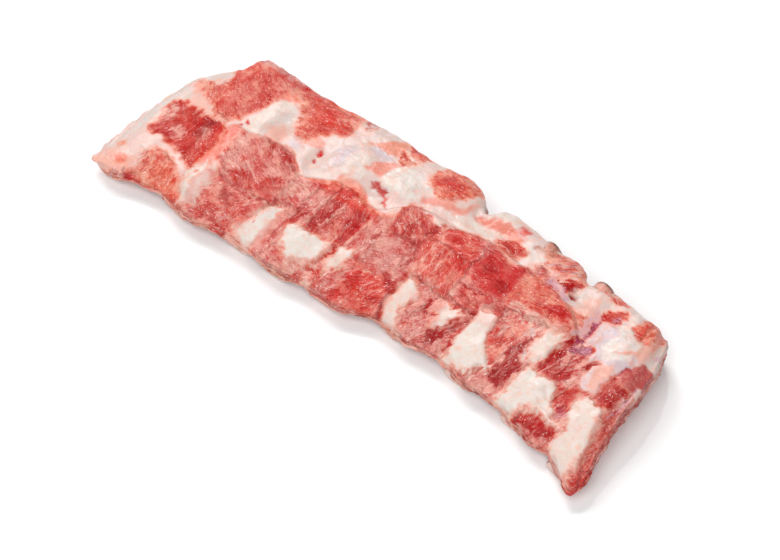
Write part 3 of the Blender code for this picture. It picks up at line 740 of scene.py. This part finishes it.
def grid_faces(rows, columns, first):
    """Quads of a grid of points numbered row by row from first, facing up."""
    i, j = np.meshgrid(np.arange(rows - 1), np.arange(columns - 1), indexing="ij")
    corner = first + i * columns + j
    return np.stack((corner, corner + columns, corner + columns + 1, corner + 1), axis=-1).reshape(-1, 4)


# How far from the rim the painted relief sets in
PAINT_MARGIN = 3

# Small dents of the meat side: height on fat and on lean, seed, size. The underside's: height, size
DENTS = ((0.28, 0.5, 61, 6), (0.04, 0.18, 67, 2))
UNDER_DENTS = (0.3, 3)


def meat_side(x, y, v, from_left, from_right, paint):
    """The points of the meat side, with its patches, fibres and dents laid on the solid's height."""
    z = top_height(x, y, v, from_left, from_right)
    from_edge = np.minimum(np.minimum(from_left, from_right), WIDTH * np.minimum(v, 1 - v))
    z = z + ease(from_edge / PAINT_MARGIN + 0.3) * paint.relief
    leanness = ease(0.5 - paint.fat / paint.feather)
    z = z + leanness * paint.fibres
    for on_fat, on_lean, seed, size in DENTS:
        z = z + blend(on_fat, on_lean, leanness) * uneven(x, y, seed, size)
    return np.stack((x, y, z), axis=-1)


def underside(x, y, v):
    height, size = UNDER_DENTS
    return np.stack((x, y, bottom_height(x, y, v) + height * uneven(x, y, 71, size)), axis=-1)


# Layers and shreds of the cut sides: height, size along the side, size up it, seed
LAYERS = (0.9, 9, 1.3, 3)
SHREDS = (0.7, 2.6, 1.1, 9)


def cut_side(rim, foot):
    """The rows of points between the rim and its foot, and how far round the slab each column lies."""
    way = np.roll(rim, -1, axis=0) - np.roll(rim, 1, axis=0)
    out = np.stack((way[:, 1], -way[:, 0], 0 * way[:, 0]), axis=-1)
    out /= np.linalg.norm(out, axis=1)[:, None]
    run = np.cumsum(np.hypot(way[:, 0], way[:, 1]) / 2)
    rows = []
    for row in range(1, WALL_ROWS):
        share = row / WALL_ROWS
        ring = blend(rim, foot, share)
        bulge = math.sin(math.pi * share)
        push = WALL_BULGE * bulge * (1 + uneven(ring[:, 0], ring[:, 1], ring[:, 2], WALL_BULGE_SIZE))
        torn = sum(height * uneven(run / length, ring[:, 2] / rise, seed, 1)
                   for height, length, rise, seed in (LAYERS, SHREDS))
        rows.append(ring + out * (push + min(1, 4 * bulge) * torn)[:, None])
    return np.array(rows), run


def meat_faces(places):
    """The faces of the meat side, the underside, the cut sides and the seam below them."""
    columns, half_columns = CELLS_ACROSS + 1, CELLS_ACROSS // 2 + 1
    first_wall = (CELLS_ALONG + 1) * columns
    ring_size = len(places)
    first_bottom = first_wall + (WALL_ROWS - 1) * ring_size
    faces = grid_faces(CELLS_ALONG + 1, columns, 0).tolist()
    faces += grid_faces(CELLS_ALONG // 2 + 1, half_columns, first_bottom)[:, ::-1].tolist()
    rings = [places[:, 0] * columns + places[:, 1]]
    rings += [first_wall + row * ring_size + np.arange(ring_size) for row in range(WALL_ROWS - 1)]
    for ring, below in zip(rings, rings[1:]):
        after, below_after = np.roll(ring, -1), np.roll(below, -1)
        faces += np.stack((ring, below, below_after, after), axis=-1).tolist()
    half = rim_places(CELLS_ALONG // 2, CELLS_ACROSS // 2)
    low = first_bottom + half[:, 0] * half_columns + half[:, 1]
    last = rings[-1]
    for k in range(len(low)):
        start, middle, end = last[2 * k], last[2 * k + 1], last[(2 * k + 2) % ring_size]
        here, there = low[k], low[(k + 1) % len(low)]
        faces += [(start, here, middle), (middle, here, there), (middle, there, end)]
    return [list(map(int, face)) for face in faces]


# The paint of the cut sides: how soon it replaces the rim's, fat in mm (swing, middle, size along and up),
# streaks, share of pale pink in the fat, brightness of the lean (below 1, partly painted shade)
SIDE_TURN = 2.2
SIDE_FAT = (2.2, 0.3, 11, 1.7)
SIDE_STREAKS = 0.5
SIDE_PINK = 0.35
SIDE_LEAN = 0.8

# The paint of the underside: how much further into fat it is over a rib than beside it, how far into lean
# beside it, streaks, softness, grain in degrees
UNDER_FAT = 4
UNDER_LEAN = 1.5
UNDER_STREAKS = 0.6
UNDER_FEATHER = 2.0
UNDER_GRAIN = 60


def side_paint(rim, row, ring, run):
    """What the material reads along one row of the cut side, blended from the rim downwards."""
    turn = float(ease((row + 1) / WALL_ROWS * SIDE_TURN))
    swing, middle, length, rise = SIDE_FAT
    # The cut sides' browns and darker lean: partly their own tissue, partly painted shade
    side = side_colour(ring[:, 0])
    found = {
        "fat": swing * uneven(run / length, ring[:, 2] / rise, 5, 1) + middle,
        "streaks": SIDE_STREAKS,
        "feather": BARE_FEATHER,
        "fat_colour": blend(side, linear(PALE_PINK), SIDE_PINK),
        "lean_colour": side * SIDE_LEAN,
    }
    values = {name: blend(rim[name], value, turn) for name, value in found.items()}
    values["grain"] = np.stack((run, ring[:, 2], 0 * run), axis=-1)
    return values


def underside_paint(bottom, v):
    """What the material reads on the underside: fat over the ribs, lean between them."""
    x, y, z = np.moveaxis(bottom, -1, 0)
    return {
        "fat": UNDER_FAT * near_rib(x, v) - UNDER_LEAN,
        "streaks": np.full(x.shape, UNDER_STREAKS),
        "feather": np.full(x.shape, UNDER_FEATHER),
        "fat_colour": np.tile(linear(PALE_PINK), (*x.shape, 1)),
        "lean_colour": np.tile(linear(HAZY_RED), (*x.shape, 1)),
        "grain": np.concatenate((turned((x, y), math.radians(UNDER_GRAIN)), z[..., None]), axis=-1),
    }


def keep_paint(mesh, parts):
    """Keeps what the material reads as attributes of the mesh's points."""
    for name in parts[0]:
        values = np.concatenate([part[name].ravel() for part in parts]).astype(np.float32)
        kind, key = ("FLOAT", "value") if len(values) == len(mesh.vertices) else ("FLOAT_VECTOR", "vector")
        mesh.attributes.new(name, kind, "POINT").data.foreach_set(key, values)


def placed(name, data):
    """A new object of the scene that holds the data."""
    obj = bpy.data.objects.new(name, data)
    bpy.context.scene.collection.objects.link(obj)
    return obj


def shown(name, points, faces, material):
    """A smooth object of the scene, from points in the drawing's millimetres."""
    mesh = bpy.data.meshes.new(name)
    mesh.from_pydata(((points - (MIDDLE_X, MIDDLE_Y, 0)) * MM).tolist(), [], faces)
    mesh.shade_smooth()
    mesh.materials.append(material)
    return placed(name, mesh)


def make_meat():
    x, y, v, from_left, from_right = plan(CELLS_ALONG, CELLS_ACROSS)
    paint = painted(x, y)
    top = meat_side(x, y, v, from_left, from_right, paint)
    bx, by, bv, _, _ = plan(CELLS_ALONG // 2, CELLS_ACROSS // 2)
    bottom = underside(bx, by, bv)
    places = rim_places(CELLS_ALONG, CELLS_ACROSS)
    at_rim = (places[:, 0], places[:, 1])
    foot = top[at_rim]
    foot[:, 2] = bottom_height(foot[:, 0], foot[:, 1], v[at_rim])
    wall, run = cut_side(top[at_rim], foot)

    points = np.concatenate([part.reshape(-1, 3) for part in (top, wall, bottom)])
    obj = shown("meat_looks", points, meat_faces(places), meat_material())

    over = paint.read(top[..., 2])
    rim = {name: values[at_rim] for name, values in over.items()}
    sides = [side_paint(rim, row, ring, run) for row, ring in enumerate(wall)]
    keep_paint(obj.data, [over, *sides, underside_paint(bottom, bv)])
    return obj


# How far a thin film of fat hides the red, green and blue of the flesh under it
FILM_POWERS = (0.7, 1.3, 1.55)


class Nodes:
    """A short way to write a material's nodes."""

    def __init__(self, name):
        self.material = bpy.data.materials.new(name)
        self.material.use_nodes = True
        self.tree = self.material.node_tree
        self.shader = self.tree.nodes["Principled BSDF"]

    def add(self, kind, inputs=(), **settings):
        node = self.tree.nodes.new(kind)
        for name, value in settings.items():
            setattr(node, name, value)
        for key, value in dict(inputs).items():
            self.put(node.inputs[key], value)
        return node

    def put(self, socket, value):
        if isinstance(value, bpy.types.NodeSocket):
            self.tree.links.new(value, socket)
        else:
            socket.default_value = value

    def finish(self, settings):
        """Sets the shader's inputs and gives the material back."""
        for name, value in settings.items():
            self.put(self.shader.inputs[name], value)
        return self.material

    def millimetres(self):
        return self.scaled(self.add("ShaderNodeTexCoord").outputs["Object"], (1000, 1000, 1000))

    def attribute(self, name, output="Fac"):
        return self.add("ShaderNodeAttribute", attribute_name=name).outputs[output]

    def math(self, operation, a, b=0.0, c=0.0):
        return self.add("ShaderNodeMath", {0: a, 1: b, 2: c}, operation=operation).outputs[0]

    def times(self, a, b):
        return self.math("MULTIPLY", a, b)

    def swing(self, noise, size, base):
        """The base, raised and lowered by a noise around its middle."""
        return self.math("MULTIPLY_ADD", self.math("SUBTRACT", noise, 0.5), size, base)

    def scaled(self, vector, scale):
        return self.add("ShaderNodeVectorMath", {0: vector, 1: scale}, operation="MULTIPLY").outputs[0]

    def noise(self, vector, scale, detail, roughness):
        """A noise whose scale is one number, or one for each axis."""
        if isinstance(scale, tuple):
            vector, scale = self.scaled(vector, scale), 1.0
        node = self.add("ShaderNodeTexNoise",
                        {"Vector": vector, "Scale": scale, "Detail": detail, "Roughness": roughness})
        return node.outputs["Fac"]

    def crease(self, vector, scale, detail):
        """0 along winding lines, and more beside them."""
        return self.math("ABSOLUTE", self.math("SUBTRACT", self.noise(vector, scale, detail, 0.6), 0.5))

    def ramp(self, value, low, high, to_low=0.0, to_high=1.0):
        inputs = {"Value": value, "From Min": low, "From Max": high, "To Min": to_low, "To Max": to_high}
        node = self.add("ShaderNodeMapRange", inputs, interpolation_type="SMOOTHSTEP")
        return node.outputs["Result"]

    def mix(self, share, a, b):
        return self.add("ShaderNodeMix", {0: share, 6: a, 7: b}, data_type="RGBA").outputs[2]

    def film(self, share, a, b):
        """Mixes a into b as a thin film of fat over flesh does, red first and blue last."""
        shares = {k: self.math("POWER", share, power) for k, power in enumerate(FILM_POWERS)}
        inputs = {1: self.add("ShaderNodeCombineXYZ", shares).outputs[0], 4: a, 5: b}
        return self.add("ShaderNodeMix", inputs, data_type="VECTOR", factor_mode="NON_UNIFORM").outputs[1]

    def bump(self, height, distance, strength, normal=None):
        inputs = {"Height": height, "Distance": distance, "Strength": strength}
        if normal is not None:
            inputs["Normal"] = normal
        return self.add("ShaderNodeBump", inputs).outputs["Normal"]


# Linear colours that the lean takes in places
PALE_LEAN = (0.9, 0.5, 0.38, 1)
# A pale veil over the lean: partly thin membrane, partly painted sheen of the wet surface
VEIL_AND_SHEEN = (0.84, 0.5, 0.41, 1)
PALE_STREAK = (0.9, 0.66, 0.57, 1)
# Painted glints: pale specks that stand in for highlights of the wet surface
PAINTED_GLINT = (0.95, 0.76, 0.71, 1)

# Linear colours that the fat takes in places
BLUSH = (0.82, 0.44, 0.33, 1)
WRINKLE = (0.8, 0.4, 0.32, 1)
THIN_FAT = (0.86, 0.46, 0.37, 1)

# What darker lean, lean in its seams (partly painted shade in their grooves) and greyer fat keep of red,
# green and blue
DEEP_KEEPS = (0.84, 0.24, 0.22)
SEAM_SHADE_KEEPS = (0.8, 0.3, 0.28)
GREY_KEEPS = (0.97, 0.89, 0.85)

# The green of lean at which it counts as dark, and as pale
DARK_TO_PALE = (0.0, 0.1)


class Meat(Nodes):
    """The material of the meat, with the patterns that its lean, its fat and its relief share."""

    def __init__(self):
        super().__init__("raw_meat")
        self.place = self.millimetres()
        self.grain = self.attribute("grain", "Vector")
        self.streaks = self.attribute("streaks")
        self.fibres = self.noise(self.grain, (0.22, 0.9, 0.5), 5.0, 0.6)
        self.strands = self.noise(self.grain, (0.08, 0.6, 0.3), 4.0, 0.6)
        self.blotch = self.noise(self.place, 0.17, 6.0, 0.7)
        self.seam = self.crease(self.grain, (0.04, 0.12, 0.2), 2.5)

    def border(self):
        """How far into the fat each point is, in mm, once the border frays."""
        frayed = self.swing(self.fibres, 2.0, self.times(self.noise(self.place, 0.5, 5.0, 0.72), 1.6))
        frayed = self.math("MULTIPLY_ADD", self.blotch, 5.2, frayed)
        frayed = self.math("ADD", self.attribute("fat"), self.math("SUBTRACT", frayed, 3.4))
        return self.swing(self.strands, self.times(self.streaks, 13.0), frayed)

    def mottled(self, tone, pale_share):
        """Lean that is deeper between its fibres and paler on them."""
        light = self.ramp(self.noise(self.place, 0.13, 6.0, 0.66), 0.32, 0.68, 0.1, 0.9)
        light = self.swing(self.fibres, 1.1, light)
        light = self.swing(self.noise(self.place, 1.2, 3.0, 0.6), 0.5, light)
        lean = self.mix(self.ramp(light, 0.14, 0.58), self.scaled(tone, DEEP_KEEPS), tone)
        pale = self.mix(0.45, tone, PALE_LEAN)
        return self.mix(self.times(self.ramp(light, 0.5, 0.95), pale_share), lean, pale)

    def lean(self):
        tone = self.attribute("lean_colour", "Color")
        green = self.add("ShaderNodeSeparateColor", {"Color": tone}).outputs["Green"]
        pale_share = self.ramp(green, *DARK_TO_PALE, 0.25, 1.0)
        lean = self.mottled(tone, pale_share)
        # A pale haze on the lean: partly thin membrane, partly painted sheen of the wet surface
        veil_and_sheen = self.ramp(self.noise(self.grain, (0.12, 0.25, 0.5), 6.0, 0.72), 0.5, 0.62)
        veil_and_sheen = self.times(veil_and_sheen, self.times(self.times(self.streaks, 0.6), pale_share))
        lean = self.mix(veil_and_sheen, lean, self.mix(0.65, tone, VEIL_AND_SHEEN))
        comb = self.times(self.streaks, self.ramp(green, *DARK_TO_PALE, 0.5, 0.85))
        comb = self.times(self.ramp(self.strands, 0.55, 0.66), comb)
        lean = self.mix(comb, lean, self.mix(0.65, tone, PALE_STREAK))
        # Darker lean along the seams, where the relief also sinks grooves: partly the seams' own colour,
        # partly painted shade in the grooves
        lean = self.mix(self.ramp(self.seam, 0.0, 0.016, 0.75, 0.0), lean, self.scaled(lean, SEAM_SHADE_KEEPS))
        # Painted glints: sparse pale specks on the lean that stand in for highlights of the wet surface
        painted_glints = self.noise(self.grain, (0.7, 2.0, 1.3), 1.5, 0.5)
        painted_glints = self.math("ADD", painted_glints, self.ramp(self.blotch, 0.4, 0.6, -0.06, 0.0))
        return self.mix(self.ramp(painted_glints, 0.635, 0.68, 0.0, 0.85), lean, PAINTED_GLINT)

    def fat(self, border):
        fat = self.attribute("fat_colour", "Color")
        grey = self.ramp(self.noise(self.place, 0.3, 4.0, 0.6), 0.4, 0.7)
        fat = self.mix(grey, fat, self.scaled(fat, GREY_KEEPS))
        blush = self.ramp(self.noise(self.place, 0.15, 6.0, 0.7), 0.5, 0.72, 0.0, 0.5)
        fat = self.mix(blush, fat, BLUSH)
        wrinkle = self.crease(self.place, (0.1, 0.16, 0.1), 4.0)
        fat = self.mix(self.ramp(wrinkle, 0.0, 0.02, 0.4, 0.0), fat, WRINKLE)
        return self.mix(self.ramp(border, 0.0, 3.0, 0.55, 0.0), fat, THIN_FAT)

    def relief(self, fat_share):
        """Folds, seams, dents and fibres, from large to small."""
        on_lean = self.ramp(fat_share, 0.0, 1.0, 1.0, 0.0)
        folds = self.bump(self.noise(self.place, 0.16, 2.0, 0.5), 0.002, 0.45)
        seams = self.bump(self.ramp(self.seam, 0.0, 0.03), 0.0002, on_lean, folds)
        dents = self.bump(self.noise(self.place, 0.6, 3.0, 0.55), 0.001,
                          self.ramp(on_lean, 0.0, 1.0, 0.28, 0.85), seams)
        return self.bump(self.fibres, 0.001, self.ramp(on_lean, 0.0, 1.0, 0.12, 0.7), dents)


def meat_material():
    meat = Meat()
    border = meat.border()
    fat_share = meat.ramp(meat.math("DIVIDE", border, meat.attribute("feather")), -0.75, 0.75)
    shine = meat.ramp(meat.noise(meat.place, 0.3, 3.0, 0.6), 0.35, 0.65, 0.06, 0.2)
    return meat.finish({
        "Base Color": meat.film(fat_share, meat.lean(), meat.fat(border)),
        "Roughness": meat.math("MULTIPLY_ADD", fat_share, 0.12, shine),
        "Subsurface Weight": 0.45,
        "Subsurface Radius": (1.0, 0.25, 0.18),
        "Subsurface Scale": 0.0018,
        "IOR": 1.35,
        "Normal": meat.relief(fat_share),
    })


def bone_material():
    n = Nodes("raw_bone")
    place = n.millimetres()
    cut = n.attribute("cut")

    def patchy(share, colour, other):
        return n.mix(share, (*linear(colour), 1), (*linear(other), 1))

    film = n.noise(place, (0.25, 0.06, 0.25), 4.0, 0.6)
    side = patchy(n.ramp(film, 0.35, 0.65), PALE_PINK, DEEP_SALMON)
    ring = patchy(n.ramp(n.noise(place, 0.9, 3.0, 0.6), 0.4, 0.6), CREAM, SALMON)
    marrow = patchy(n.ramp(n.noise(place, 1.4, 3.0, 0.7), 0.35, 0.65), MARROW, HAZY_RED)
    outside = n.mix(n.ramp(cut, 1.05, 1.1), ring, side)
    far = n.add("ShaderNodeSeparateXYZ", {"Vector": place}).outputs["Y"]
    stained = n.times(n.ramp(far, 42.0, 46.0), n.ramp(film, 0.35, 0.6, 0.15, 0.6))
    outside = n.mix(stained, outside, (*linear(BROWN), 1))
    worn = n.swing(n.noise(place, 0.7, 3.0, 0.6), 0.35, cut)
    return n.finish({
        "Base Color": n.mix(n.ramp(worn, 0.35, 0.6), marrow, outside),
        "Roughness": 0.4,
        "Subsurface Weight": 0.12,
        "Subsurface Scale": 0.002,
        "Normal": n.bump(n.noise(place, 1.1, 4.0, 0.6), 0.0005, 0.7),
    })


# The rib bones as they look: how far each sawn end stands out of the meat, below 0 inside it
BONE_SIDES = 32
BONE_STATIONS = 48
NEAR_END_OUT = (-3.0, -2.5, -1.6, -1.6, -2.0, -1.2, -0.8, -0.8, -1.5)
FAR_END_OUT = 0.6
BONE_WOBBLE = 0.35
BONE_WOBBLE_SIZE = 5

# The sawn ends: size of each ring, how far out it lies. The attribute cut holds the size there
CAP_RINGS = ((1.0, 0.0), (0.96, 0.5), (0.85, 0.62), (0.66, 0.55), (0.45, 0.25), (0.2, 0.15))
SIDE_CUT = 1.2


def bone_ring(index, v, y, size):
    waist = 1 - RIB_WAIST * math.sin(math.pi * min(1, max(0, v)))
    growth = head_growth(index, v)
    turn = 2 * np.pi * (np.arange(BONE_SIDES) + 0.5) / BONE_SIDES
    x = rib_x(index, v) + size * RIB_HALF_WIDTH * waist * np.cos(turn)
    z = RIB_SEAT + arch(v) + growth + size * (RIB_HALF_THICK + growth) * np.sin(turn)
    wobble = BONE_WOBBLE * uneven(x, y, z, BONE_WOBBLE_SIZE)
    x, z = x + wobble * np.cos(turn), z + wobble * np.sin(turn)
    return np.stack((x, np.full(BONE_SIDES, y), np.maximum(z, 0)), axis=-1)


def bone_rings(index):
    """The rings of points from the near sawn end to the far one, and the value of cut for each."""
    y_near = float(near_edge(np.array(RIB_NEAR_X[index]))) - NEAR_END_OUT[index]
    y_far = float(far_edge(np.array(RIB_FAR_X[index]))) + FAR_END_OUT
    rows = [(0, y_near - out, size, size) for size, out in reversed(CAP_RINGS)]
    rows += [(v, blend(y_near, y_far, v), 1, SIDE_CUT) for v in np.linspace(0, 1, BONE_STATIONS).tolist()]
    rows += [(1, y_far + out, size, size) for size, out in CAP_RINGS]
    return [bone_ring(index, v, y, size) for v, y, size, _ in rows], [cut for _, _, _, cut in rows]


def make_bone(index, material):
    rings, cuts = bone_rings(index)
    faces = []
    for low in range(0, (len(rings) - 1) * BONE_SIDES, BONE_SIDES):
        high = low + BONE_SIDES
        for side in range(BONE_SIDES):
            beside = (side + 1) % BONE_SIDES
            faces.append((low + side, low + beside, high + beside, high + side))
    faces.append(list(range(BONE_SIDES))[::-1])
    faces.append([len(rings) * BONE_SIDES - BONE_SIDES + side for side in range(BONE_SIDES)])
    obj = shown(f"rib_bone_{index + 1}", np.concatenate(rings), faces, material)
    layer = obj.data.attributes.new("cut", "FLOAT", "POINT")
    layer.data.foreach_set("value", np.repeat(cuts, BONE_SIDES).astype(np.float32))
    return obj


# The camera, at the photograph's angle
AZIMUTH = math.radians(40.5)
ELEVATION = math.radians(53)
DISTANCE = 0.95
LOOK_AT = Vector((0.01605, -0.0152, 0.012))
LENS = 85
SENSOR = 36


def make_camera():
    camera = bpy.data.cameras.new("camera")
    camera.lens = LENS
    camera.sensor_width = SENSOR
    obj = placed("camera", camera)
    back = Vector((math.sin(AZIMUTH) * math.cos(ELEVATION), -math.cos(AZIMUTH) * math.cos(ELEVATION),
                   math.sin(ELEVATION)))
    obj.location = LOOK_AT + DISTANCE * back
    obj.rotation_euler = back.to_track_quat("Z", "Y").to_euler()
    bpy.context.scene.camera = obj


# The floor: half its side and how far it lies under the rack in metres, its two greys
FLOOR_HALF = 8
FLOOR_DROP = 0.0002
FLOOR_DARKER = (0.93, 0.93, 0.93, 1)
FLOOR_LIGHTER = (0.95, 0.95, 0.95, 1)


def floor_material():
    n = Nodes("floor")
    cloud = n.ramp(n.noise(n.add("ShaderNodeTexCoord").outputs["Object"], 3.0, 2.0, 0.5), 0.3, 0.7)
    return n.finish({
        "Base Color": n.mix(cloud, FLOOR_DARKER, FLOOR_LIGHTER),
        "Roughness": 0.9,
        "Specular IOR Level": 0.1,
    })


def make_floor():
    mesh = bpy.data.meshes.new("floor")
    h = FLOOR_HALF
    mesh.from_pydata([(-h, -h, 0), (h, -h, 0), (h, h, 0), (-h, h, 0)], [], [(0, 1, 2, 3)])
    mesh.materials.append(floor_material())
    floor = placed("floor", mesh)
    floor.location.z = -FLOOR_DROP


# The softboxes: place and side in metres, power in watts. Each looks at the middle of the rack
SOFTBOXES = {
    "top": ((0.35, -0.9, 1.4), 1.4, 22),
    "key": ((-1.6, 0.75, 1.9), 1.1, 34),
    "back": ((-0.82, 1.02, 1.75), 0.12, 8),
}
WORLD_COLOUR = (0.96, 0.98, 1, 1)
WORLD_STRENGTH = 0.25


def make_softbox(name, place, size, power):
    light = bpy.data.lights.new(name, "AREA")
    light.shape = "SQUARE"
    light.size = size
    light.energy = power
    obj = placed(name, light)
    obj.location = place
    obj.rotation_euler = Vector(place).to_track_quat("Z", "Y").to_euler()


def make_light():
    world = bpy.data.worlds.new("studio")
    world.use_nodes = True
    background = world.node_tree.nodes["Background"]
    background.inputs["Color"].default_value = WORLD_COLOUR
    background.inputs["Strength"].default_value = WORLD_STRENGTH
    bpy.context.scene.world = world
    for name, softbox in SOFTBOXES.items():
        make_softbox(name, *softbox)
    bpy.context.scene.view_settings.view_transform = "Standard"


def main():
    make_camera()
    make_light()
    make_floor()
    meat = make_meat()
    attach(meat, "root")
    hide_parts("meat")
    bone = bone_material()
    for index in range(len(RIB_NEAR_X)):
        rib = make_bone(index, bone)
        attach(rib, "root")
        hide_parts(f"rib_{index + 1}")


main()
